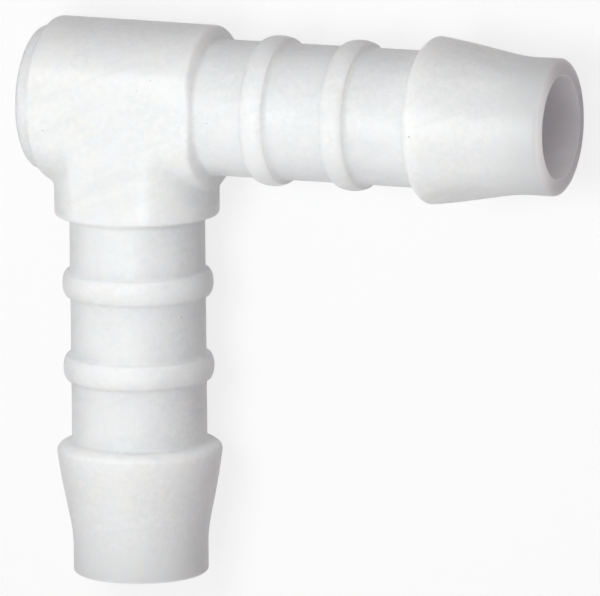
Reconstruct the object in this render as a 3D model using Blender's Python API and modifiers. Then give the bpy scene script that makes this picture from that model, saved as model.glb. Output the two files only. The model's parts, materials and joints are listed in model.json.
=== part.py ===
"""Elbow hose connector: two barbed hose nozzles at right angles on one corner block.

The whole connector is one plastic moulding. It lies flat, with one nozzle along +X, the
other along -Y and +Z up. The origin is the middle of the underside flat, straight below
the point where the two nozzle axes cross. Units are metres.
"""

import math

import bmesh
import bpy

MM = 0.001

# Nozzles. Distances along a nozzle run from its tip inwards.
HOSE_BORE = 12.0 * MM            # inside diameter of the hose that the nozzles fit
LEG_X = 40.15 * MM               # from the axes' crossing to the tip of the +X nozzle
LEG_Y = 42.3 * MM                # from the axes' crossing to the tip of the -Y nozzle
TIP_ROUNDING = 0.4 * MM          # rounded outer edge of the open end
LEAD_IN = 3.7 * MM               # straight stretch that enters the hose first
BARB_RADIUS = 7.35 * MM          # crest of the barb
BARB_FROM_TIP_X = 11.5 * MM      # from the tip to the crest, +X nozzle
BARB_FROM_TIP_Y = 11.1 * MM      # from the tip to the crest, -Y nozzle
BARB_KNEE = 2.3 * MM             # from the crest to where the cone gets steeper
BARB_KNEE_DROP = 0.33 * MM       # how much lower than the crest that is
BARB_SHOULDER = 0.8 * MM         # length of the rounded shoulder behind the crest
RIDGE_HEIGHT = 0.69 * MM         # ridges that the hose clamp presses the hose on
RIDGE_HALF_WIDTH = 1.3 * MM
RIDGE_FULLNESS = 0.8             # 1 is half an ellipse, less is a flatter crown
RIDGE_PITCH = 7.55 * MM          # also from the barb's crest to the first ridge
RIDGES = 2

# Corner block: a round body on the X axis with square shoulders.
BLOCK_RADIUS = 7.2 * MM          # at its +X end
BLOCK_DRAFT = 0.1 * MM           # how much wider it is at the blind end
BLOCK_HALF_LENGTH = 7.5 * MM
CAP_RADIUS = 6.4 * MM            # round cap that closes the blind end
CAP_LENGTH = 1.4 * MM
CAP_CHAMFER = 0.2 * MM

# Collar: the round body on the Y axis that carries the -Y nozzle.
COLLAR_RADIUS = 7.3 * MM
COLLAR_DRAFT = 0.05 * MM         # how much wider the collar is where it leaves the block
COLLAR_LENGTH = 9.9 * MM         # from the axes' crossing to the collar's shoulder

# The block's and the collar's shoulders.
SHOULDER_RUN = 0.35 * MM         # how far a shoulder's foot lies past its edge
SHOULDER_EDGE = 0.22 * MM        # bevelled edge of a shoulder

# Flats on the front and back, across the block and down the collar.
FLAT_HEIGHT = 6.45 * MM          # from the axes' plane to each flat

# Bores, left by two core pins that meet in the corner.
BORE_MOUTH_RADIUS = 4.5 * MM
BORE_CORNER_RADIUS = 4.3 * MM    # the pins taper a little, so that they pull out
PIN_STEP = 0.1 * MM              # the +X pin is this much slimmer where it butts on the other
BLIND_DEPTH = 4.4 * MM           # how far the long pin runs past the crossing

# Fineness of the round surfaces.
SIDES = 48
ROUNDING_STEPS = 4
RIDGE_STEPS = 8
MERGE = 0.01 * MM
PAST = 2.0 * MM                  # how far cutters run past what they cut

SHANK_RADIUS = HOSE_BORE / 2
BLIND_END = BLOCK_HALF_LENGTH + CAP_LENGTH
WHITE = (0.86, 0.87, 0.85, 1.0)


def clear_scene():
    for item in list(bpy.data.objects):
        bpy.data.objects.remove(item, do_unlink=True)


def new_collection(name, parent=None):
    made = bpy.data.collections.new(name)
    (parent or bpy.context.scene.collection).children.link(made)
    return made


def moulded_plastic():
    """Natural white engineering plastic, half matt."""
    material = bpy.data.materials.new("natural_white_plastic")
    material.use_nodes = True
    finish = material.node_tree.nodes["Principled BSDF"]
    finish.inputs["Base Color"].default_value = WHITE
    finish.inputs["Roughness"].default_value = 0.42
    finish.inputs["Metallic"].default_value = 0.0
    return material


def quarter(from_point, to_point, steps, flat_first):
    """Points of a quarter ellipse after from_point, up to and with to_point.

    flat_first is True where the curve leaves from_point along the axis and arrives across it.
    """
    along = to_point[0] - from_point[0]
    across = to_point[1] - from_point[1]
    points = []
    for step in range(1, steps + 1):
        turn = math.pi / 2 * step / steps
        share_along = math.sin(turn) if flat_first else 1 - math.cos(turn)
        share_across = 1 - math.cos(turn) if flat_first else math.sin(turn)
        points.append((from_point[0] + along * share_along, from_point[1] + across * share_across))
    return points


def ridge(middle):
    """One rounded ridge on the shank: half an ellipse with a flattened crown."""
    points = []
    for step in range(RIDGE_STEPS + 1):
        turn = math.pi * step / RIDGE_STEPS
        along = middle - RIDGE_HALF_WIDTH * math.cos(turn)
        rise = max(math.sin(turn), 0.0) ** RIDGE_FULLNESS
        points.append((along, SHANK_RADIUS + RIDGE_HEIGHT * rise))
    return points


def nozzle_outline(barb_from_tip):
    """(distance from the tip, radius) of a nozzle's outside, from the tip's face inwards."""
    face_edge = (0.0, SHANK_RADIUS - TIP_ROUNDING)
    knee = (barb_from_tip - BARB_KNEE, BARB_RADIUS - BARB_KNEE_DROP)
    crest = (barb_from_tip, BARB_RADIUS)
    foot = (barb_from_tip + BARB_SHOULDER, SHANK_RADIUS)
    outline = [(0.0, 0.0), face_edge]
    outline += quarter(face_edge, (TIP_ROUNDING, SHANK_RADIUS), ROUNDING_STEPS, False)
    outline += [(LEAD_IN, SHANK_RADIUS), knee, crest]
    outline += quarter(crest, foot, ROUNDING_STEPS, True)
    for count in range(1, RIDGES + 1):
        outline += ridge(barb_from_tip + count * RIDGE_PITCH)
    return outline


def along_x_outline():
    """(position on the axis, radius) of the block and the +X nozzle, tip first."""
    outline = [(LEG_X - distance, radius) for distance, radius in nozzle_outline(BARB_FROM_TIP_X)]
    blind_radius = BLOCK_RADIUS + BLOCK_DRAFT
    outline += [
        (BLOCK_HALF_LENGTH + SHOULDER_RUN, SHANK_RADIUS),
        (BLOCK_HALF_LENGTH, BLOCK_RADIUS - SHOULDER_EDGE),
        (BLOCK_HALF_LENGTH - SHOULDER_EDGE, BLOCK_RADIUS),
        (SHOULDER_EDGE - BLOCK_HALF_LENGTH, blind_radius),
        (-BLOCK_HALF_LENGTH, blind_radius - SHOULDER_EDGE),
        (-BLOCK_HALF_LENGTH - SHOULDER_RUN, CAP_RADIUS),
        (CAP_CHAMFER - BLIND_END, CAP_RADIUS),
        (-BLIND_END, CAP_RADIUS - CAP_CHAMFER),
        (-BLIND_END, 0.0),
    ]
    return outline


def along_y_outline():
    """(position on the axis, radius) of the collar and the -Y nozzle, tip first."""
    outline = [(LEG_Y - distance, radius) for distance, radius in nozzle_outline(BARB_FROM_TIP_Y)]
    outline += [
        (COLLAR_LENGTH + SHOULDER_RUN, SHANK_RADIUS),
        (COLLAR_LENGTH, COLLAR_RADIUS - SHOULDER_EDGE),
        (COLLAR_LENGTH - SHOULDER_EDGE, COLLAR_RADIUS),
        (0.0, COLLAR_RADIUS + COLLAR_DRAFT),
        (0.0, 0.0),
    ]
    return outline


def turned(name, outline, collection):
    """A solid turned about local Z from its outline, which starts at the top of the axis."""
    mesh = bpy.data.meshes.new(name)
    points = [(radius, 0.0, place) for place, radius in outline]
    edges = [(first, first + 1) for first in range(len(points) - 1)]
    mesh.from_pydata(points, edges, [])
    solid = bpy.data.objects.new(name, mesh)
    collection.objects.link(solid)
    screw = solid.modifiers.new("turn", "SCREW")
    screw.axis = "Z"
    screw.angle = 2 * math.pi
    screw.steps = SIDES
    screw.render_steps = SIDES
    screw.use_merge_vertices = True
    screw.merge_threshold = MERGE
    screw.use_smooth_shade = True
    return solid


def as_tool(solid):
    """Keeps a solid that others are joined with or cut by out of the model."""
    solid.hide_render = True
    solid.display_type = "WIRE"
    return solid


def core_pin(name, mouth, inner, inner_radius, collection):
    """A tapered bore cutter along local Z, from past the mouth at +Z down to the inner end."""
    taper = (BORE_MOUTH_RADIUS - inner_radius) / mouth
    end_radius = inner_radius + taper * inner
    past_radius = BORE_MOUTH_RADIUS + taper * PAST
    shape = bmesh.new()
    bmesh.ops.create_cone(
        shape,
        cap_ends=True,
        segments=SIDES,
        radius1=end_radius,
        radius2=past_radius,
        depth=mouth + PAST - inner,
    )
    bmesh.ops.translate(shape, verts=shape.verts, vec=(0.0, 0.0, (mouth + PAST + inner) / 2))
    mesh = bpy.data.meshes.new(name)
    shape.to_mesh(mesh)
    shape.free()
    pin = bpy.data.objects.new(name, mesh)
    collection.objects.link(pin)
    return as_tool(pin)


def slab(name, centre, size, collection):
    """A box cutter with its centre and full sizes."""
    shape = bmesh.new()
    bmesh.ops.create_cube(shape, size=1.0)
    bmesh.ops.scale(shape, verts=shape.verts, vec=size)
    bmesh.ops.translate(shape, verts=shape.verts, vec=centre)
    mesh = bpy.data.meshes.new(name)
    shape.to_mesh(mesh)
    shape.free()
    box = bpy.data.objects.new(name, mesh)
    collection.objects.link(box)
    return as_tool(box)


def combine(target, other, operation):
    step = target.modifiers.new(f"{operation.lower()}_{other.name}", "BOOLEAN")
    step.object = other
    step.operation = operation
    step.solver = "EXACT"


def point_along(solid, direction):
    """Turns a solid's local Z onto a world direction."""
    turns = {"+X": (0.0, math.pi / 2, 0.0), "-Y": (math.pi / 2, 0.0, 0.0)}
    solid.rotation_euler = turns[direction]


def cut_flats(target, cutters):
    """Planes the front and the back of the block and the collar down to the two flats.

    The cutters end where both nozzles start, because the shanks are lower than the flats.
    """
    left = -(BLIND_END + PAST)
    right = BLOCK_HALF_LENGTH + SHOULDER_RUN
    top = BLOCK_RADIUS + BLOCK_DRAFT + PAST
    bottom = -(COLLAR_LENGTH + SHOULDER_RUN)
    depth = COLLAR_RADIUS + COLLAR_DRAFT + PAST
    size = (right - left, top - bottom, depth)
    for name, side in (("front_flat", 1), ("back_flat", -1)):
        centre = ((left + right) / 2, (top + bottom) / 2, side * (FLAT_HEIGHT + depth / 2))
        combine(target, slab(name, centre, size, cutters), "DIFFERENCE")


def cut_bores(target, cutters):
    """Opens both nozzles into the corner with two tapered core pins."""
    long_pin = core_pin("long_core_pin", LEG_Y, -BLIND_DEPTH, BORE_CORNER_RADIUS, cutters)
    point_along(long_pin, "-Y")
    short_pin = core_pin("short_core_pin", LEG_X, 0.0, BORE_CORNER_RADIUS - PIN_STEP, cutters)
    point_along(short_pin, "+X")
    combine(target, long_pin, "DIFFERENCE")
    combine(target, short_pin, "DIFFERENCE")


def build_connector(parts, cutters):
    """Models everything about the axes' crossing."""
    connector = turned("elbow_connector", along_x_outline(), parts)
    point_along(connector, "+X")
    connector.data.materials.append(moulded_plastic())
    lower_leg = as_tool(turned("collar_and_nozzle", along_y_outline(), cutters))
    point_along(lower_leg, "-Y")
    combine(connector, lower_leg, "UNION")
    cut_flats(connector, cutters)
    cut_bores(connector, cutters)


def lift_onto_flat(parts, cutters):
    """Carries all of it on an empty at the axes' crossing, so that the underside flat is at Z = 0."""
    crossing = bpy.data.objects.new("axes_crossing", None)
    parts.objects.link(crossing)
    crossing.location.z = FLAT_HEIGHT
    for item in list(parts.objects) + list(cutters.objects):
        if item != crossing:
            item.parent = crossing


def main():
    clear_scene()
    parts = new_collection("elbow_hose_connector")
    cutters = new_collection("cutters", parts)
    build_connector(parts, cutters)
    lift_onto_flat(parts, cutters)


main()
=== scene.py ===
# %% [markdown]
# # Elbow hose connector
# This script dresses one small plastic part: a right-angle connector that joins two
# hoses. Each leg is a barbed nozzle. A hose is pushed over it and a clamp presses the
# hose onto the ridges behind the barb.
#
# The solid model already fixes where everything is. So the script starts by loading it
# and keeps its box, which every shape made here has to stay inside.

# %% Load the solid model
import math

import json

import bmesh
import bpy
import numpy as np
from mathutils import Matrix, Vector

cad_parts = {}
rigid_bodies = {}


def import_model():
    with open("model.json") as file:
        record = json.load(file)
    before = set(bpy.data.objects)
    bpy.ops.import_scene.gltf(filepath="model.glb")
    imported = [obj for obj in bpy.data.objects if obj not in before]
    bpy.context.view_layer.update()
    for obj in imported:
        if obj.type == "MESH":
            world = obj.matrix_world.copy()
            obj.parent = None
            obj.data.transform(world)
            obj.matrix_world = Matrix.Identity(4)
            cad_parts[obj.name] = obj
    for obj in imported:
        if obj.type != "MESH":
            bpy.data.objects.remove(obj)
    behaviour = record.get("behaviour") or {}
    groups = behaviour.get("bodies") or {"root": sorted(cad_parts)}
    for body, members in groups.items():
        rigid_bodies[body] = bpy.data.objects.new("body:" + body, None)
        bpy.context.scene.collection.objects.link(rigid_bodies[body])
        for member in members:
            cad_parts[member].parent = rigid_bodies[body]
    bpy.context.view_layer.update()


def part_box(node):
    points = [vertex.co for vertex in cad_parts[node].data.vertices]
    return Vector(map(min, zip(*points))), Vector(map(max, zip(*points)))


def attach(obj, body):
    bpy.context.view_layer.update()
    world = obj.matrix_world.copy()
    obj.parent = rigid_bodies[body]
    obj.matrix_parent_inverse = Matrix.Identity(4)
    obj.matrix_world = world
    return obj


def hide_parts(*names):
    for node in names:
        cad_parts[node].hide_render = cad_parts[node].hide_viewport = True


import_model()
low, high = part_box("elbow_connector")
MM = 0.001
print("solid model, mm:", [round((b - a) / MM, 2) for a, b in zip(low, high)])

# %% [markdown]
# ## The sizes
# The outer sizes are read off the solid model, so that this surface can never drift away
# from it. The two nozzle axes cross at mid height. The finer sizes of the barb, ridges,
# block and bores were measured in the photograph, and each is written once, here.
#
# The maker sees the part as two turned bodies that cross: a block with a nozzle along X,
# and a collar with a nozzle along Y. All distances below are counted from the crossing,
# or from a nozzle's tip.

# %% Sizes
AXIS_HEIGHT = (low.z + high.z) / 2
BARB_RADIUS = (high.z - low.z) / 2
LEG_X = high.x
LEG_Y = -low.y
BLIND_END = -low.x

SHANK_RADIUS = 6.0 * MM
TIP_ROUNDING = 0.4 * MM
TIP_EASE = 0.65 * MM
LEAD_IN = 3.7 * MM
BARB_FROM_TIP_X = 11.5 * MM
BARB_FROM_TIP_Y = 11.1 * MM
BARB_KNEE = 2.3 * MM
BARB_KNEE_DROP = 0.33 * MM
BARB_SHOULDER = 0.8 * MM
RIDGE_HEIGHT_X = 0.62 * MM
RIDGE_HEIGHT_Y = 0.69 * MM
RIDGE_HALF_WIDTH = 1.28 * MM
RIDGE_FULLNESS = 0.9
RIDGE_PITCH = 7.55 * MM

BLOCK_RADIUS = 7.2 * MM
BLOCK_DRAFT = 0.1 * MM
BLOCK_HALF_LENGTH = 7.5 * MM
CAP_RADIUS = 6.4 * MM
COLLAR_RADIUS = 7.3 * MM
COLLAR_DRAFT = 0.05 * MM
COLLAR_LENGTH = 9.9 * MM
SHOULDER_RUN = 0.35 * MM
FLAT_HEIGHT = 6.45 * MM

BORE_MOUTH_RADIUS = 4.5 * MM
BORE_CORNER_RADIUS = 4.3 * MM
PIN_STEP = 0.1 * MM
BLIND_DEPTH = 4.4 * MM

FOOT_FILLET = 0.42 * MM
SHOULDER_FILLET = 0.25 * MM
EDGE_EASE = 0.32 * MM
CONE_EASE = 1.3 * MM
MOUTH_BREAK = 0.12 * MM
print("legs, mm:", round(LEG_X / MM, 2), round(LEG_Y / MM, 2))

# %% [markdown]
# ## The nozzle outline
# A turned shape needs only its outline. It is a list of (distance from the tip, radius)
# from the open end inwards: the tip, a straight lead-in, the long cone of the barb, its
# rounded shoulder, and two ridges with flattened crowns. Each round stretch is a formula,
# so the number of points can change without redrawing anything.
#
# Moulds have no knife-sharp inner corners, so the foot of each ridge and of the shoulder
# gets a small fillet, and the cone bends softly where it changes its slope.

# %% Outline helpers
ARC_STEPS = 8
FOOT_STEPS = 4


def quarter(start, end, leaves_along, steps=ARC_STEPS):
    """Quarter ellipse from start to end, without start. It leaves along or across the axis."""
    turns = np.linspace(0, math.pi / 2, steps + 1)[1:]
    rise, run = np.sin(turns), 1 - np.cos(turns)
    along, across = (rise, run) if leaves_along else (run, rise)
    return [
        (start[0] + (end[0] - start[0]) * a, start[1] + (end[1] - start[1]) * b)
        for a, b in zip(along, across)
    ]


def eased(before, corner, after, setback):
    """A corner of an outline, rounded by a curve that touches both its sides."""
    before, corner, after = np.array(before), np.array(corner), np.array(after)
    start = corner + (before - corner) * setback / math.dist(before, corner)
    end = corner + (after - corner) * setback / math.dist(after, corner)
    shares = np.linspace(0, 1, ARC_STEPS)[:, None]
    curve = (1 - shares) ** 2 * start + 2 * shares * (1 - shares) * corner + shares**2 * end
    return [tuple(point) for point in curve.tolist()]


def ridge(middle, height):
    """Half an ellipse with a flattened crown on the shank, with a fillet at both feet."""
    lift = math.asin((FOOT_FILLET / height) ** (1 / RIDGE_FULLNESS))
    reach = RIDGE_HALF_WIDTH * math.cos(lift)
    turns = np.linspace(lift, math.pi - lift, 3 * ARC_STEPS)
    places = middle - RIDGE_HALF_WIDTH * np.cos(turns)
    heights = SHANK_RADIUS + height * np.sin(turns) ** RIDGE_FULLNESS
    crown = list(zip(places.tolist(), heights.tolist()))
    first = (middle - reach - FOOT_FILLET, SHANK_RADIUS)
    last = (middle + reach + FOOT_FILLET, SHANK_RADIUS)
    rise = quarter(first, crown[0], True, FOOT_STEPS)
    fall = quarter(crown[-1], last, False, FOOT_STEPS)
    return [first] + rise + crown[1:] + fall


def nozzle_outline(barb_from_tip, ridge_height):
    """(distance from the tip, radius) from the tip's face inwards to behind the last ridge."""
    face_edge = (0.0, SHANK_RADIUS - TIP_EASE)
    tip_top = (TIP_ROUNDING, SHANK_RADIUS)
    cone_foot = (LEAD_IN, SHANK_RADIUS)
    knee = (barb_from_tip - BARB_KNEE, BARB_RADIUS - BARB_KNEE_DROP)
    crest = (barb_from_tip, BARB_RADIUS)
    wall_foot = (barb_from_tip + BARB_SHOULDER, SHANK_RADIUS + SHOULDER_FILLET)
    shank_start = (wall_foot[0] + SHOULDER_FILLET, SHANK_RADIUS)
    outline = [(0.0, 0.0), face_edge]
    outline += quarter(face_edge, tip_top, False)
    outline += eased(tip_top, cone_foot, knee, CONE_EASE)
    outline += eased(cone_foot, knee, crest, CONE_EASE)
    outline.append(crest)
    outline += quarter(crest, wall_foot, True, 2 * ARC_STEPS)
    outline += quarter(wall_foot, shank_start, False, FOOT_STEPS)
    for count in (1, 2):
        outline += ridge(barb_from_tip + count * RIDGE_PITCH, ridge_height)
    return outline


print("points in a nozzle's outline:", len(nozzle_outline(BARB_FROM_TIP_X, RIDGE_HEIGHT_X)))

# %% [markdown]
# ## The two turned bodies
# The block continues the nozzle along X, so both are one outline. It has square
# shoulders. Past the left one, a slightly smaller round cap closes the bore, and in the
# middle of the cap is the small scar where the plastic was let into the mould. The collar
# continues the other nozzle in the same way.

# %% Body outlines
GATE_RADIUS = 1.3 * MM
GATE_DEPTH = 0.16 * MM
NUB_RADIUS = 0.55 * MM
NUB_HEIGHT = 0.11 * MM
SHANK_LENGTH = 1.2 * MM
COLLAR_INSIDE = 1.0 * MM


def eased_line(points, setback):
    """A line through points, with every corner but its ends rounded."""
    outline = [points[0]]
    for before, corner, after in zip(points, points[1:], points[2:]):
        outline += eased(before, corner, after, setback)
    return outline + [points[-1]]


def block_outline():
    """(place on the X axis, radius) from the shank over the block to its blind end."""
    foot = BLOCK_HALF_LENGTH + SHOULDER_RUN
    corners = [
        (foot + SHANK_LENGTH, SHANK_RADIUS),
        (foot, SHANK_RADIUS),
        (BLOCK_HALF_LENGTH, BLOCK_RADIUS),
        (-BLOCK_HALF_LENGTH, BLOCK_RADIUS + BLOCK_DRAFT),
        (-foot, CAP_RADIUS),
        (-BLIND_END, CAP_RADIUS),
        (-BLIND_END, GATE_RADIUS),
    ]
    return eased_line(corners, EDGE_EASE)


def gate_outline():
    """The scar on the blind end: a shallow dish with the broken stub of the sprue."""
    floor = -BLIND_END + GATE_DEPTH
    return [
        (floor, GATE_RADIUS - GATE_DEPTH),
        (floor, NUB_RADIUS),
        (floor - NUB_HEIGHT, NUB_RADIUS - NUB_HEIGHT / 2),
        (floor - NUB_HEIGHT, 0.0),
    ]


def collar_outline():
    """(place on the Y axis, radius) from the shank over the collar into the block."""
    foot = COLLAR_LENGTH + SHOULDER_RUN
    corners = [
        (foot + SHANK_LENGTH, SHANK_RADIUS),
        (foot, SHANK_RADIUS),
        (COLLAR_LENGTH, COLLAR_RADIUS),
        (COLLAR_INSIDE, COLLAR_RADIUS + COLLAR_DRAFT),
    ]
    return eased_line(corners, EDGE_EASE) + [(0.0, FLAT_HEIGHT), (0.0, 0.0)]


def along_leg(leg, barb_from_tip, ridge_height):
    """A nozzle's outline, counted from the crossing instead of from the tip."""
    outline = nozzle_outline(barb_from_tip, ridge_height)
    return [(leg - distance, radius) for distance, radius in outline]


print("points round the block and the collar:", len(block_outline()), len(collar_outline()))

# %% [markdown]
# The corner gets extra rings. They carry no shape of their own, but later the edges
# there are rounded by moving points, and points have to be there to be moved.
#
# A Screw modifier then turns an outline into a solid. It needs an outline that starts at
# the top of its axis and runs down the outside, or the faces point inwards.

# %% Turn an outline
SIDES = 160
RING_SPACING = 0.25 * MM
WELD = 0.002 * MM
X_WAY = (1, 0, 0)
Y_WAY = (0, -1, 0)


def with_rings(outline):
    """Adds points, so that no stretch of an outline is longer than the ring spacing."""
    dense = [outline[0]]
    for start, end in zip(outline, outline[1:]):
        pieces = max(1, math.ceil(math.dist(start, end) / RING_SPACING))
        dense += [
            (start[0] + (end[0] - start[0]) * s, start[1] + (end[1] - start[1]) * s)
            for s in np.linspace(0, 1, pieces + 1)[1:]
        ]
    return dense


def bake(solid):
    """Makes the modifiers and the placing part of the mesh."""
    bpy.context.view_layer.update()
    graph = bpy.context.evaluated_depsgraph_get()
    made = bpy.data.meshes.new_from_object(solid.evaluated_get(graph))
    made.transform(solid.matrix_world)
    solid.modifiers.clear()
    solid.data = made
    solid.matrix_world = Matrix.Identity(4)
    return solid


def turned(name, outline, direction, material=None):
    """A solid turned about an axis through the crossing. direction is where its tip points."""
    mesh = bpy.data.meshes.new(name)
    points = [(radius, 0.0, place) for place, radius in outline]
    mesh.from_pydata(points, [(i, i + 1) for i in range(len(points) - 1)], [])
    if material:
        mesh.materials.append(material)
    solid = bpy.data.objects.new(name, mesh)
    bpy.context.scene.collection.objects.link(solid)
    screw = solid.modifiers.new("turn", "SCREW")
    screw.axis = "Z"
    screw.steps = screw.render_steps = SIDES
    screw.use_merge_vertices = True
    screw.merge_threshold = WELD
    solid.rotation_euler = Vector(direction).to_track_quat("Z", "Y").to_euler()
    return bake(solid)


def combine(target, other, operation):
    """Joins with, or cuts by, another solid, which is then removed."""
    step = target.modifiers.new(operation.lower(), "BOOLEAN")
    step.object = other
    step.operation = operation
    step.solver = "EXACT"
    step.material_mode = "TRANSFER"
    bake(target)
    bpy.data.objects.remove(other, do_unlink=True)


# %% [markdown]
# ## The plastic
# The real part is natural white engineering plastic: no paint, no pigment but the
# plastic's own milk white. Light goes in and comes out a little further on, so the
# shading is soft, and thin walls glow. A plain white surface could be given the same
# tone, but its shadows would stay hard. So here light scatters below the surface, as it
# does in the plastic.
#
# Up close the white is not even. Each mark that breaks it up is a node group of its own
# with named inputs, so that one group can serve in several places with other values.

# %% Node helpers
def new_group(name, inputs, outputs):
    """A shader node group with number sockets. Returns the tree, its input and output nodes."""
    group = bpy.data.node_groups.new(name, "ShaderNodeTree")
    for label, value in inputs.items():
        socket = group.interface.new_socket(label, in_out="INPUT", socket_type="NodeSocketFloat")
        socket.default_value = value
    for label in outputs:
        group.interface.new_socket(label, in_out="OUTPUT", socket_type="NodeSocketFloat")
    return group, group.nodes.new("NodeGroupInput"), group.nodes.new("NodeGroupOutput")


def feed(tree, socket, value):
    """Links a socket to an output socket, or sets it to a plain number or colour."""
    if isinstance(value, (int, float, tuple)):
        socket.default_value = value
    else:
        tree.links.new(value, socket)


def math_node(tree, operation, first, second):
    """A Math node. Each of its two inputs is a number or an output socket."""
    node = tree.nodes.new("ShaderNodeMath")
    node.operation = operation
    feed(tree, node.inputs[0], first)
    feed(tree, node.inputs[1], second)
    return node.outputs[0]


def soft_step(tree, value, start, end):
    """0 up to start, 1 from end on, and a soft curve between them."""
    node = tree.nodes.new("ShaderNodeMapRange")
    node.interpolation_type = "SMOOTHSTEP"
    feed(tree, node.inputs["Value"], value)
    feed(tree, node.inputs["From Min"], start)
    feed(tree, node.inputs["From Max"], end)
    return node.outputs[0]


def soft_fall(tree, value, start, end):
    """1 up to start, 0 from end on."""
    return math_node(tree, "SUBTRACT", 1.0, soft_step(tree, value, start, end))


def place_in_mm(tree):
    """The place on the part, in millimetres."""
    place = tree.nodes.new("ShaderNodeTexCoord").outputs["Object"]
    scaled = tree.nodes.new("ShaderNodeVectorMath")
    scaled.operation = "SCALE"
    scaled.inputs["Scale"].default_value = 1 / MM
    tree.links.new(place, scaled.inputs[0])
    return scaled.outputs[0]


def place_axes(tree):
    """The three coordinates of the place, in millimetres."""
    split = tree.nodes.new("ShaderNodeSeparateXYZ")
    tree.links.new(place_in_mm(tree), split.inputs[0])
    return split.outputs


# %% [markdown]
# The steel of the mould leaves a fine grain on the skin. A core pin is polished along its
# length, so the marks in a bore are long. A noise that can be stretched along one axis
# does both jobs, and as a bump it costs no faces.

# %% Mould grain
def mould_grain_group():
    inputs = {"Grain Size": 0.3, "Stretch X": 1.0, "Stretch Y": 1.0, "Detail": 2.0}
    tree, given, out = new_group("mould_grain", inputs, ["Height"])
    stretch = tree.nodes.new("ShaderNodeCombineXYZ")
    stretch.inputs["Z"].default_value = 1.0
    tree.links.new(given.outputs["Stretch X"], stretch.inputs["X"])
    tree.links.new(given.outputs["Stretch Y"], stretch.inputs["Y"])
    shrunk = tree.nodes.new("ShaderNodeVectorMath")
    shrunk.operation = "DIVIDE"
    tree.links.new(place_in_mm(tree), shrunk.inputs[0])
    tree.links.new(stretch.outputs[0], shrunk.inputs[1])
    noise = tree.nodes.new("ShaderNodeTexNoise")
    noise.inputs["Roughness"].default_value = 0.55
    tree.links.new(shrunk.outputs[0], noise.inputs["Vector"])
    tree.links.new(math_node(tree, "DIVIDE", 1.0, given.outputs["Grain Size"]), noise.inputs["Scale"])
    tree.links.new(given.outputs["Detail"], noise.inputs["Detail"])
    tree.links.new(noise.outputs["Fac"], out.inputs["Height"])
    return tree


# %% [markdown]
# The melt cools at different speeds, and that leaves clouds of a greyer white. A painted
# picture of them would have to be wrapped round the part, and would show a seam. A noise
# fills all of space and has none, so the clouds are a noise, spread around its middle
# value. With a small cloud size, the same group gives the finer mottling too.

# %% Milky clouds
MIDDLE = 0.5


def milk_cloud_group():
    inputs = {"Cloud Size": 5.0, "Contrast": 1.0}
    tree, given, out = new_group("milk_cloud", inputs, ["Mask"])
    noise = tree.nodes.new("ShaderNodeTexNoise")
    noise.inputs["Detail"].default_value = 3.0
    noise.inputs["Distortion"].default_value = 0.6
    tree.links.new(place_in_mm(tree), noise.inputs["Vector"])
    tree.links.new(math_node(tree, "DIVIDE", 1.0, given.outputs["Cloud Size"]), noise.inputs["Scale"])
    centred = math_node(tree, "SUBTRACT", noise.outputs["Fac"], MIDDLE)
    lifted = tree.nodes.new("ShaderNodeMath")
    lifted.operation = "ADD"
    lifted.use_clamp = True
    lifted.inputs[1].default_value = MIDDLE
    tree.links.new(math_node(tree, "MULTIPLY", centred, given.outputs["Contrast"]), lifted.inputs[0])
    tree.links.new(lifted.outputs[0], out.inputs["Mask"])
    return tree


# %% [markdown]
# Where the two mould halves met, a hair-thin raised line runs round the outside at mid
# height. Cut into the mesh, it would need many tiny faces. A mask that fades with the
# distance from that height is enough, because it only feeds the bump.

# %% Parting line
def parting_line_group():
    inputs = {"Line Height": AXIS_HEIGHT / MM, "Line Width": 0.1}
    tree, given, out = new_group("parting_line", inputs, ["Mask"])
    above = math_node(tree, "SUBTRACT", place_axes(tree)["Z"], given.outputs["Line Height"])
    away = math_node(tree, "ABSOLUTE", above, 0.0)
    tree.links.new(soft_fall(tree, away, 0.0, given.outputs["Line Width"]), out.inputs["Mask"])
    return tree


# %% [markdown]
# The melt ran round the cores and left weak streaks, slanting across the legs, a shade
# greyer than the rest. Drawn one by one they would look alike. They are a noise as well,
# but a long and narrow one: the place is divided by the streak's length, width and depth
# before the noise is looked up.

# %% Flow streaks
def flow_streak_group():
    inputs = {"Streak Width": 2.6, "Streak Length": 11.0, "Streak Depth": 3.0}
    inputs.update({"Slant": 0.35, "Threshold": 0.5, "Softness": 0.22})
    tree, given, out = new_group("flow_streak", inputs, ["Mask"])
    x, y, z = place_axes(tree)
    across = math_node(tree, "SUBTRACT", y, math_node(tree, "MULTIPLY", x, given.outputs["Slant"]))
    joined = tree.nodes.new("ShaderNodeCombineXYZ")
    sides = ((x, "Streak Length"), (across, "Streak Width"), (z, "Streak Depth"))
    for socket, (place, size) in zip(joined.inputs, sides):
        tree.links.new(math_node(tree, "DIVIDE", place, given.outputs[size]), socket)
    noise = tree.nodes.new("ShaderNodeTexNoise")
    noise.inputs["Scale"].default_value = 1.0
    noise.inputs["Detail"].default_value = 3.0
    noise.inputs["Distortion"].default_value = 0.9
    tree.links.new(joined.outputs[0], noise.inputs["Vector"])
    start = given.outputs["Threshold"]
    end = math_node(tree, "ADD", start, given.outputs["Softness"])
    tree.links.new(soft_step(tree, noise.outputs["Fac"], start, end), out.inputs["Mask"])
    return tree


# %% [markdown]
# Here and there a tiny dark speck is caught in the white, as in any moulding without
# pigment. Placed by hand they would need a list. Instead the space is cut into cells, a
# speck sits in the centre of a cell, and each cell's own random colour says whether it
# has one and how dark it is.

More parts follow.
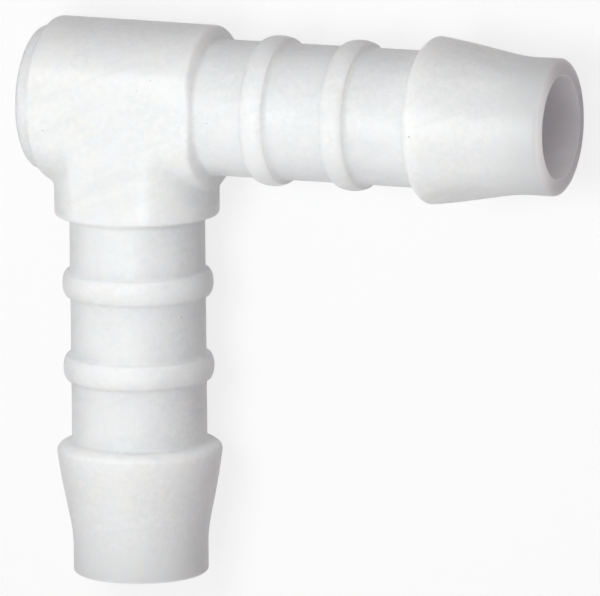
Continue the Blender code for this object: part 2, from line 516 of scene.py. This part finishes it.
# %% Specks
def speck_group():
    inputs = {"Cell Size": 1.3, "Speck Radius": 0.1, "Dark Core": 0.4, "Share": 0.35}
    tree, given, out = new_group("speck", inputs, ["Mask"])
    cells = tree.nodes.new("ShaderNodeTexVoronoi")
    tree.links.new(place_in_mm(tree), cells.inputs["Vector"])
    tree.links.new(math_node(tree, "DIVIDE", 1.0, given.outputs["Cell Size"]), cells.inputs["Scale"])
    away = math_node(tree, "MULTIPLY", cells.outputs["Distance"], given.outputs["Cell Size"])
    shares = math_node(tree, "DIVIDE", away, given.outputs["Speck Radius"])
    dot = soft_fall(tree, shares, given.outputs["Dark Core"], 1.0)
    draw = tree.nodes.new("ShaderNodeSeparateColor")
    tree.links.new(cells.outputs["Color"], draw.inputs[0])
    picked = math_node(tree, "LESS_THAN", draw.outputs["Red"], given.outputs["Share"])
    strength = math_node(tree, "MULTIPLY", picked, draw.outputs["Green"])
    tree.links.new(math_node(tree, "MULTIPLY", dot, strength), out.inputs["Mask"])
    return tree


# %% [markdown]
# At an open end the wall is thin and light leaks out through it. That shows in three
# ways, and the scattering alone gives only part of each, so the rest is painted light and
# shade. The last few millimetres of the skin get a painted shade of grey, for the light
# that is lost into the bore. On the ring of the open end, the wall that faces the lamps
# gets a painted glow, for the light that comes through it, and the far wall, which gets
# none, gets a painted grey shade. So there are three masks, all counted from the end.

# %% Open ends: painted shade and glow
def painted_end_light_group():
    inputs = {"Reach": 6.0, "Ring Depth": 0.4, "Y Share": 0.7}
    inputs.update({"Axis Height": AXIS_HEIGHT / MM, "Lit From": 0.5, "Lit To": 6.5})
    tree, given, out = new_group("painted_end_light", inputs, ["Skin", "Near Wall Painted Glow", "Far Wall Painted Shade"])
    x, y, z = place_axes(tree)
    from_x_end = math_node(tree, "SUBTRACT", LEG_X / MM, x)
    from_y_end = math_node(tree, "ADD", LEG_Y / MM, y)
    at_x_end = soft_fall(tree, from_x_end, 0.0, given.outputs["Reach"])
    at_y_end = soft_fall(tree, from_y_end, 0.0, given.outputs["Reach"])
    at_y_end = math_node(tree, "MULTIPLY", at_y_end, given.outputs["Y Share"])
    at_end = math_node(tree, "MAXIMUM", at_x_end, at_y_end)
    from_end = math_node(tree, "MINIMUM", from_x_end, from_y_end)
    ring = soft_fall(tree, from_end, 0.0, given.outputs["Ring Depth"])
    past_ring = math_node(tree, "SUBTRACT", 1.0, ring)
    height = math_node(tree, "SUBTRACT", z, given.outputs["Axis Height"])
    lit = soft_step(tree, height, given.outputs["Lit From"], given.outputs["Lit To"])
    unlit = math_node(tree, "SUBTRACT", 1.0, lit)
    # The outputs place painted shade on the skin near the end, a painted glow on the ring's near wall
    # and painted shade on its far wall.
    tree.links.new(math_node(tree, "MULTIPLY", at_end, past_ring), out.inputs["Skin"])
    tree.links.new(math_node(tree, "MULTIPLY", ring, lit), out.inputs["Near Wall Painted Glow"])
    tree.links.new(math_node(tree, "MULTIPLY", ring, unlit), out.inputs["Far Wall Painted Shade"])
    return tree


# %% Build the groups
mould_grain = mould_grain_group()
milk_cloud = milk_cloud_group()
parting_line = parting_line_group()
flow_streak = flow_streak_group()
speck = speck_group()
painted_end_light = painted_end_light_group()
print("node groups:", [group.name for group in bpy.data.node_groups])

# %% [markdown]
# Now the groups are put together. The clouds and streaks are in the plastic itself, so
# skin and bores have them. The specks, the parting line and the painted shade and glow of
# the open ends are seen on the outside only. The bores are a trace more mauve: a painted
# shade tint, because the light that reaches them has a trace of mauve as well.

# %% Colours and strengths
WHITE = (0.872, 0.878, 0.872, 1.0)
# Painted shade tint: the bores' mauve stands for the mauve light that reaches them.
BORE_SHADE_TINTED_WHITE = (0.862, 0.84, 0.868, 1.0)
CLOUD_WHITE = (0.815, 0.83, 0.832, 1.0)
STREAK_GREY = (0.73, 0.752, 0.756, 1.0)
SPECK_GREY = (0.34, 0.33, 0.33, 1.0)
# Painted shade: the grey of the last millimetres of skin at the open ends.
END_PAINTED_SHADE = (0.68, 0.7, 0.705, 1.0)
# Painted shade on the far wall of an open end's ring.
FAR_WALL_PAINTED_SHADE = (0.69, 0.672, 0.698, 1.0)
NO_GLOW = (0.0, 0.0, 0.0, 1.0)
# Painted glow: emission on the near wall of an open end's ring.
WALL_PAINTED_GLOW = (0.22, 0.22, 0.22, 1.0)
SCATTER_DEPTH = 2.7 * MM
SCATTER_OF_COLOURS = (1.0, 0.9, 0.8)
REFRACTION = 1.48
CLOUDS = {"Contrast": 2.0}
FINE_CLOUDS = {"Cloud Size": 0.5, "Contrast": 2.6}
CLOUD_STRENGTH = 2.0
STREAK_STRENGTH = 0.32
GRAIN_RANGE = (0.3, 0.7)
LINE_DEPTH = 0.03


def place_group(tree, group, values):
    """A group node with some of its inputs set. Returns its output sockets."""
    node = tree.nodes.new("ShaderNodeGroup")
    node.node_tree = group
    for label, value in values.items():
        node.inputs[label].default_value = value
    return node.outputs


def tinted(tree, colour, share, tint):
    """colour, mixed towards tint by share. colour is a plain colour or an output socket."""
    mix = tree.nodes.new("ShaderNodeMix")
    mix.data_type = "RGBA"
    first, second = [socket for socket in mix.inputs if socket.type == "RGBA"]
    feed(tree, first, colour)
    feed(tree, second, tint)
    feed(tree, mix.inputs["Factor"], share)
    return next(socket for socket in mix.outputs if socket.type == "RGBA")


# %% Natural white plastic
def mottled(tree, white):
    """White with clouds, mottling and flow streaks."""
    clouds = place_group(tree, milk_cloud, CLOUDS)["Mask"]
    fine_clouds = place_group(tree, milk_cloud, FINE_CLOUDS)["Mask"]
    clouds = math_node(tree, "MULTIPLY", clouds, fine_clouds)
    colour = tinted(tree, white, math_node(tree, "MULTIPLY", clouds, CLOUD_STRENGTH), CLOUD_WHITE)
    streaks = place_group(tree, flow_streak, {})["Mask"]
    return tinted(tree, colour, math_node(tree, "MULTIPLY", streaks, STREAK_STRENGTH), STREAK_GREY)


def outside_colour_with_painted_light(tree, shader, colour):
    """Adds the specks, a painted shade near the open ends and on the far wall of their ring, and a
    painted glow on the near wall.
    """
    colour = tinted(tree, colour, place_group(tree, speck, {})["Mask"], SPECK_GREY)
    ends = place_group(tree, painted_end_light, {})
    # Painted shade on the skin near the open ends.
    colour = tinted(tree, colour, ends["Skin"], END_PAINTED_SHADE)
    # Painted glow: emission on the near wall of the ring.
    tree.links.new(tinted(tree, NO_GLOW, ends["Near Wall Painted Glow"], WALL_PAINTED_GLOW), shader.inputs["Emission Color"])
    shader.inputs["Emission Strength"].default_value = 1.0
    # Painted shade on the far wall of the ring.
    return tinted(tree, colour, ends["Far Wall Painted Shade"], FAR_WALL_PAINTED_SHADE)


def natural_white(name, white, grain, grain_depth, gloss_range, is_skin=False):
    """Milk white plastic. grain holds the values of the grain, depths are in millimetres."""
    material = bpy.data.materials.new(name)
    material.use_nodes = True
    tree = material.node_tree
    shader = tree.nodes["Principled BSDF"]
    shader.inputs["Subsurface Weight"].default_value = 1.0
    shader.inputs["Subsurface Radius"].default_value = SCATTER_OF_COLOURS
    shader.inputs["Subsurface Scale"].default_value = SCATTER_DEPTH
    shader.inputs["IOR"].default_value = REFRACTION
    colour = mottled(tree, white)
    grain_height = place_group(tree, mould_grain, grain)["Height"]
    height = math_node(tree, "MULTIPLY", grain_height, grain_depth)
    if is_skin:
        colour = outside_colour_with_painted_light(tree, shader, colour)
        line = math_node(tree, "MULTIPLY", place_group(tree, parting_line, {})["Mask"], LINE_DEPTH)
        height = math_node(tree, "ADD", height, line)
    tree.links.new(colour, shader.inputs["Base Color"])

    gloss = tree.nodes.new("ShaderNodeMapRange")
    limits = ("From Min", "From Max", "To Min", "To Max")
    for label, value in zip(limits, GRAIN_RANGE + gloss_range):
        gloss.inputs[label].default_value = value
    tree.links.new(grain_height, gloss.inputs["Value"])
    tree.links.new(gloss.outputs[0], shader.inputs["Roughness"])

    bump = tree.nodes.new("ShaderNodeBump")
    bump.inputs["Distance"].default_value = MM
    tree.links.new(height, bump.inputs["Height"])
    tree.links.new(bump.outputs[0], shader.inputs["Normal"])
    return material


# %% [markdown]
# Three materials come out of it: one for the skin, and one for each bore, because the
# marks of a core pin run along its own axis. The bores are smoother than the skin, as
# polished pins leave them.

# %% Three materials
SKIN_GRAIN = {"Grain Size": 0.32}
SKIN_GRAIN_DEPTH = 0.012
SKIN_GLOSS = (0.4, 0.52)
PIN_MARK_SIZE = 0.22
PIN_MARK_LENGTH = 14.0
PIN_MARK_DEPTH = 0.008
BORE_GLOSS = (0.3, 0.42)


def bore_white(name, stretch):
    """The white of a bore, with its painted mauve shade tint, whose marks are stretched along one axis.
    """
    marks = {"Grain Size": PIN_MARK_SIZE, stretch: PIN_MARK_LENGTH}
    return natural_white(name, BORE_SHADE_TINTED_WHITE, marks, PIN_MARK_DEPTH, BORE_GLOSS)


skin_white = natural_white(
    "natural_white_plastic", WHITE, SKIN_GRAIN, SKIN_GRAIN_DEPTH, SKIN_GLOSS, is_skin=True
)
bore_x_white = bore_white("bore_x_plastic", "Stretch X")
bore_y_white = bore_white("bore_y_plastic", "Stretch Y")
print("materials:", skin_white.name, bore_x_white.name, bore_y_white.name)

# %% [markdown]
# ## Join the bodies
# The two turned bodies are joined by an exact Boolean. The edge where they cross is
# still hard after that.

# %% Join
block_side = along_leg(LEG_X, BARB_FROM_TIP_X, RIDGE_HEIGHT_X)
block_side += with_rings(block_outline()) + gate_outline()
collar_side = along_leg(LEG_Y, BARB_FROM_TIP_Y, RIDGE_HEIGHT_Y) + with_rings(collar_outline())
connector = turned("connector_moulding", block_side, X_WAY, skin_white)
combine(connector, turned("collar_leg", collar_side, Y_WAY, skin_white), "UNION")
print("joined body:", len(connector.data.polygons), "faces")

# %% [markdown]
# ## Soften the corner
# The real corner has no knife edge. The block and the collar are planed to two flats,
# the edges of the flats are a little rounded, and a fillet fills the angle where the
# collar leaves the block. A Bevel modifier has trouble here, because the edge between
# the two round bodies dies out on the flats.
#
# Instead, each point of the corner is moved onto a formula. It takes the distance from
# the block and the distance from the collar, and blends them softly into one. A second
# soft blend planes off what is higher than the flats.

# %% Distances to the two bodies
JOIN_BLEND = 0.75 * MM
EDGE_BLEND = 0.28 * MM


def soft_lower(first, second, width):
    """The lower of two distances, rounded where they are less than width apart."""
    near = np.clip(1 - np.abs(first - second) / width, 0, 1)
    return np.minimum(first, second) - width * near * near / 4


def outside(places, radii, skin):
    """Distance to a turned body's skin, below zero inside it."""
    nearest = np.full(len(places), np.inf)
    for start, end in zip(skin, skin[1:]):
        along = end - start
        share = ((places - start[0]) * along[0] + (radii - start[1]) * along[1]) / (along @ along)
        share = np.clip(share, 0, 1)
        gap = np.hypot(places - start[0] - share * along[0], radii - start[1] - share * along[1])
        nearest = np.minimum(nearest, gap)
    height = np.interp(places, skin[::-1, 0], skin[::-1, 1])
    inside = (radii < height) & (places > skin[-1, 0]) & (places < skin[0, 0])
    return np.where(inside, -nearest, nearest)


block_skin = np.array(block_outline() + [(-BLIND_END, 0.0)])
collar_skin = np.array(collar_outline())


def outside_corner(points):
    """Distance to the finished corner: both bodies joined with a fillet, planed to the flats."""
    x, y, z = points.T
    block = outside(x, np.hypot(y, z), block_skin)
    collar = outside(-y, np.hypot(x, z), collar_skin)
    joined = soft_lower(block, collar, JOIN_BLEND)
    return -soft_lower(-joined, FLAT_HEIGHT - np.abs(z), EDGE_BLEND)


# %% [markdown]
# A point finds its way to that formula as a ball finds its way downhill: it looks where
# the distance falls fastest and moves that way by as much as is left. After a few such
# steps it lies on the skin. The middle of the blind end is left out, so that the gate's
# scar keeps its shape.

# %% Move the corner's points
SETTLE_STEPS = 5
PROBE = 0.004 * MM
LEAST_STEEPNESS = 0.25
AROUND_GATE = 1.5 * GATE_RADIUS


def settle(points):
    """Moves points straight onto the corner's skin, a few times along the steepest slope."""
    for _ in range(SETTLE_STEPS):
        here = outside_corner(points)
        probes = [outside_corner(points + step) for step in np.eye(3) * PROBE]
        slope = (np.stack(probes, axis=1) - here[:, None]) / PROBE
        steepness = np.maximum((slope**2).sum(axis=1), LEAST_STEEPNESS)
        points = points - slope * (here / steepness)[:, None]
    return points


mesh = connector.data
points = np.empty(len(mesh.vertices) * 3)
mesh.vertices.foreach_get("co", points)
points = points.reshape(-1, 3)
x, y, z = points.T
in_corner = (x < block_skin[0, 0] - WELD) & (-y < collar_skin[0, 0] - WELD)
in_corner &= np.hypot(y, z) > AROUND_GATE
points[in_corner] = settle(points[in_corner])
mesh.vertices.foreach_set("co", points.ravel())
mesh.update()
print("points moved in the corner:", int(in_corner.sum()))

# %% [markdown]
# ## The bores
# Two core pins leave the bores. The long one runs through the collar into the block, and
# the short one butts against it. Both taper a little so that they pull out of the mould.
# They are turned bodies too, and they are subtracted last, so that the softening above
# never touches the inside.

# %% Core pins
PAST = 2.0 * MM
PIN_ROUNDING = 0.5 * MM


def core_pin(name, mouth, inner, inner_radius, direction, material):
    """A tapered pin from past the mouth to its inner end, with a small break at the mouth."""
    end_radius = inner_radius + (BORE_MOUTH_RADIUS - inner_radius) * inner / mouth
    rounding_start = (inner + PIN_ROUNDING, end_radius)
    outline = [
        (mouth + PAST, 0.0),
        (mouth + PAST, BORE_MOUTH_RADIUS + MOUTH_BREAK + PAST),
        (mouth, BORE_MOUTH_RADIUS + MOUTH_BREAK),
        (mouth - MOUTH_BREAK, BORE_MOUTH_RADIUS),
        rounding_start,
    ]
    outline += quarter(rounding_start, (inner, end_radius - PIN_ROUNDING), True)
    outline.append((inner, 0.0))
    return turned(name, outline, direction, material)


short_radius = BORE_CORNER_RADIUS - PIN_STEP
long_pin = core_pin("long_pin", LEG_Y, -BLIND_DEPTH, BORE_CORNER_RADIUS, Y_WAY, bore_y_white)
combine(connector, long_pin, "DIFFERENCE")
short_pin = core_pin("short_pin", LEG_X, 0.0, short_radius, X_WAY, bore_x_white)
combine(connector, short_pin, "DIFFERENCE")
print("with bores:", len(connector.data.polygons), "faces,", len(connector.data.materials), "materials")

# %% [markdown]
# ## Clean the mesh
# The Booleans leave slivers, faces much thinner than any real detail, that would catch
# the light as stray lines. Points that almost touch are merged, and the slivers go.
#
# Which points merge depends on their order, and a Boolean leaves them in an order that
# changes from run to run. So the mesh is rebuilt in a fixed order first, the points by
# their place and the faces by their points. Right before the merging, the edges are put
# in order too. Then every run gives the same mesh.

# %% Fixed order
def in_order(mesh):
    """The same mesh, with its points and faces in a fixed order."""
    places = np.array([point.co for point in mesh.vertices])
    order = np.lexsort(places.T)
    rank = np.argsort(order)
    faces = []
    for face in mesh.polygons:
        corners = [int(rank[index]) for index in face.vertices]
        start = corners.index(min(corners))
        faces.append((corners[start:] + corners[:start], face.material_index))
    faces.sort()
    ordered = bpy.data.meshes.new(mesh.name)
    ordered.from_pydata(places[order].tolist(), [], [corners for corners, slot in faces])
    for material in mesh.materials:
        ordered.materials.append(material)
    ordered.polygons.foreach_set("material_index", [slot for corners, slot in faces])
    return ordered


connector.data = in_order(connector.data)
print("put in order:", len(connector.data.vertices), "points")

# %% [markdown]
# So far the part was made around the crossing of its axes. Now it is cleaned and lifted
# to where the solid model lies. A finer mesh could hide the facets, but smooth shading
# does it without more faces. Only real edges, such as the one where the bores meet, stay
# sharp.

# %% Clean and lift to its place
SHARP_ANGLE = math.radians(50)
SLIVER = 0.02 * MM

shape = bmesh.new()
shape.from_mesh(connector.data)
count = len(shape.verts)
shape.edges.sort(key=lambda edge: edge.verts[0].index * count + edge.verts[1].index)
bmesh.ops.remove_doubles(shape, verts=shape.verts, dist=SLIVER)
bmesh.ops.dissolve_degenerate(shape, edges=shape.edges, dist=SLIVER / 4)
bmesh.ops.translate(shape, verts=shape.verts, vec=(0.0, 0.0, AXIS_HEIGHT))
shape.to_mesh(connector.data)
shape.free()
connector.data.shade_smooth()
connector.data.set_sharp_from_angle(angle=SHARP_ANGLE)
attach(connector, "root")
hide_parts("elbow_connector")
print("finished mesh:", sum(len(face.vertices) - 2 for face in connector.data.polygons), "triangles")

# %% [markdown]
# ## Floor
# The connector lies on a pale floor. It is white for the eye, but the light that it
# throws back onto the part is that of a grey floor, so that the sides turned away from
# the lamps stay in shade. Only camera and mirror rays see the added white, and the soft
# shadow of the part is kept.

# %% Floor
FLOOR_SIZE = 2.4
FLOOR_WHITENESS = 0.8
FLOOR_GREY = 0.55
FLOOR_WHITE = 0.95


def seen_directly(tree):
    """1 for a ray from the camera or from a mirror-like surface, 0 for scattered light."""
    rays = tree.nodes.new("ShaderNodeLightPath")
    return math_node(tree, "MAXIMUM", rays.outputs["Is Camera Ray"], rays.outputs["Is Glossy Ray"])


def floor_material():
    material = bpy.data.materials.new("pale_floor")
    material.use_nodes = True
    tree = material.node_tree
    tree.nodes.clear()
    out = tree.nodes.new("ShaderNodeOutputMaterial")
    paint = tree.nodes.new("ShaderNodeBsdfDiffuse")
    grey, pale = [(value, value, value, 1.0) for value in (FLOOR_GREY, FLOOR_WHITE)]
    tree.links.new(tinted(tree, grey, seen_directly(tree), pale), paint.inputs["Color"])
    white = tree.nodes.new("ShaderNodeEmission")
    mix = tree.nodes.new("ShaderNodeMixShader")
    share = math_node(tree, "MULTIPLY", seen_directly(tree), FLOOR_WHITENESS)
    tree.links.new(share, mix.inputs["Fac"])
    tree.links.new(paint.outputs[0], mix.inputs[1])
    tree.links.new(white.outputs[0], mix.inputs[2])
    tree.links.new(mix.outputs[0], out.inputs["Surface"])
    return material


floor_mesh = bpy.data.meshes.new("floor")
sheet = bmesh.new()
bmesh.ops.create_grid(sheet, x_segments=1, y_segments=1, size=FLOOR_SIZE / 2)
sheet.to_mesh(floor_mesh)
sheet.free()
floor_mesh.materials.append(floor_material())
floor = bpy.data.objects.new("floor", floor_mesh)
floor.location.z = low.z
bpy.context.scene.collection.objects.link(floor)
print("floor, mm:", round(FLOOR_SIZE / MM), "wide, at height", round(floor.location.z / MM, 3))

# %% [markdown]
# ## Camera
# The photograph shows the part upright, with one nozzle to the right and the other
# pointing down. Here it lies on its back, so the same view is taken from above: the
# camera hangs over the part, a little towards its right and its top. The photograph has
# hardly any perspective. A camera close by would show more of it, so this one is far off
# and has a long lens.

# %% Camera
VIEW_RIGHT = math.radians(22.55)
VIEW_ABOVE = math.radians(10.64)
VIEW_ROLL = math.radians(-0.5)
VIEW_TARGET = Vector((15.51 * MM, -16.59 * MM, AXIS_HEIGHT))
VIEW_DISTANCE = 855.2 * MM
LENS = 583.7
SEES_UP_TO = 10.0


def seen_from(right, above):
    """Turns a camera or a lamp to the part, from so far to its right and above its front."""
    return Matrix.Rotation(right, 3, "Y") @ Matrix.Rotation(-above, 3, "X")


camera = bpy.data.objects.new("camera", bpy.data.cameras.new("camera"))
bpy.context.scene.collection.objects.link(camera)
aim = seen_from(VIEW_RIGHT, VIEW_ABOVE) @ Matrix.Rotation(VIEW_ROLL, 3, "Z")
camera.rotation_euler = aim.to_euler()
camera.location = VIEW_TARGET + aim @ Vector((0.0, 0.0, VIEW_DISTANCE))
camera.data.lens = LENS
camera.data.clip_end = SEES_UP_TO
bpy.context.scene.camera = camera
print("camera, mm:", [round(value / MM, 1) for value in camera.location])

# %% [markdown]
# ## Light
# The photograph was taken in a light tent. Most of the light comes from the front, and
# it is a little stronger over the corner than over the two open ends, so one lamp hangs
# close above the corner. Three weaker ones beside the part lift its upper, lower and
# left sides. Point lamps would draw hard shadows that a tent doesn't have, so each lamp
# is a lit square.

# %% Soft boxes
LAMP_WHITE = (0.948, 1.0, 0.972)
LAMP_TARGET = Vector((8.0, -6.0, 7.0)) * MM
NEAR_LAMP = 40 * MM
WIDE_LAMP = 300 * MM


def soft_box(name, place, size, power):
    """A square lamp that faces the part near its corner. place is in millimetres."""
    lamp = bpy.data.lights.new(name, "AREA")
    lamp.size = size
    lamp.energy = power
    lamp.color = LAMP_WHITE
    box = bpy.data.objects.new(name, lamp)
    bpy.context.scene.collection.objects.link(box)
    box.location = Vector(place) * MM
    box.rotation_euler = (LAMP_TARGET - box.location).to_track_quat("-Z", "Y").to_euler()
    box.visible_camera = False
    return box


soft_box("over_corner", (8, 4, 105), NEAR_LAMP, 0.048)
soft_box("front", (0, 0, 600), WIDE_LAMP, 0.51)
soft_box("upper_side", (40, 400, 200), WIDE_LAMP, 0.235)
soft_box("lower_side", (0, -400, 200), WIDE_LAMP, 0.28)
soft_box("left_side", (-400, 0, 200), WIDE_LAMP, 0.1)
print("lamps:", [lamp.name for lamp in bpy.data.lights])

# %% [markdown]
# The walls of the tent send a dim light from all sides. More lamps could do that, but
# the world does it at no cost. Its light has a trace of mauve. The camera itself sees
# the world as plain white, like the background of the photograph.

# %% World
AMBIENT = (0.324, 0.285, 0.305, 1.0)

world = bpy.data.worlds.new("white_room")
bpy.context.scene.world = world
world.use_nodes = True
tree = world.node_tree
tree.nodes.clear()
out = tree.nodes.new("ShaderNodeOutputWorld")
dim = tree.nodes.new("ShaderNodeBackground")
dim.inputs["Color"].default_value = AMBIENT
bright = tree.nodes.new("ShaderNodeBackground")
bright.inputs["Color"].default_value = (1.0, 1.0, 1.0, 1.0)
mix = tree.nodes.new("ShaderNodeMixShader")
tree.links.new(seen_directly(tree), mix.inputs["Fac"])
tree.links.new(dim.outputs[0], mix.inputs[1])
tree.links.new(bright.outputs[0], mix.inputs[2])
tree.links.new(mix.outputs[0], out.inputs["Surface"])

bpy.context.scene.view_settings.view_transform = "Standard"
print("world:", world.name)
